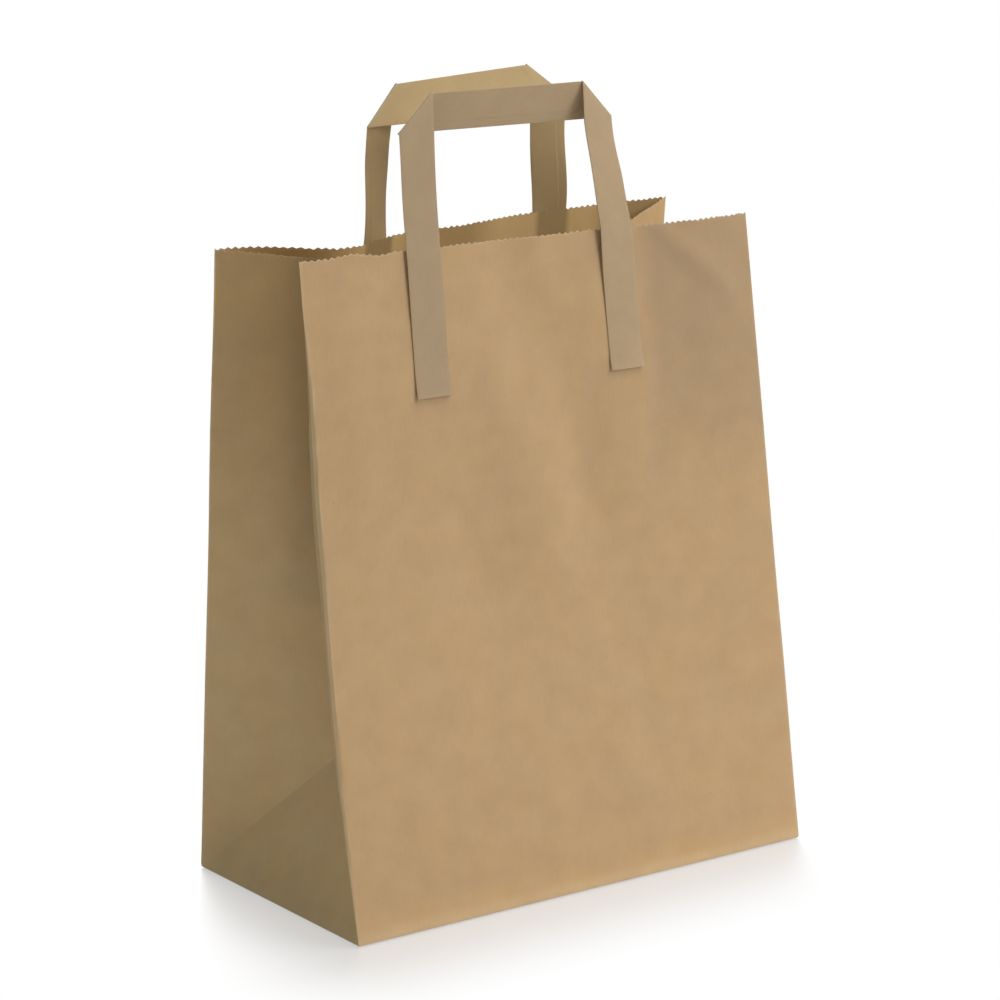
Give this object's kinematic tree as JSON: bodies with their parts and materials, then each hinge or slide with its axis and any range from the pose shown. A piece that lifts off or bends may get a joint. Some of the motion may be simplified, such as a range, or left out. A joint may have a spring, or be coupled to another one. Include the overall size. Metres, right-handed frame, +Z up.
{
  "type": "paper carrier bag",
  "caption": "Brown kraft paper carrier bag with block bottom, side gussets, pinked top edge and flat tape handles glued outside; stands open.",
  "frame": {"origin": "under the centre of the base, on the surface the bag stands on", "axes": "+X along the broad panels to the right of the front, +Y from the front panel to the back panel, +Z up"},
  "size_m": [0.2579, 0.14, 0.3735],
  "materials": {
    "kraft_sheet": "matte",
    "kraft_tape": "matte"
  },
  "bodies": {
    "root": {"bag_body": "kraft_sheet", "front_handle": "kraft_tape", "rear_handle": "kraft_tape"}
  },
  "joints": []
}
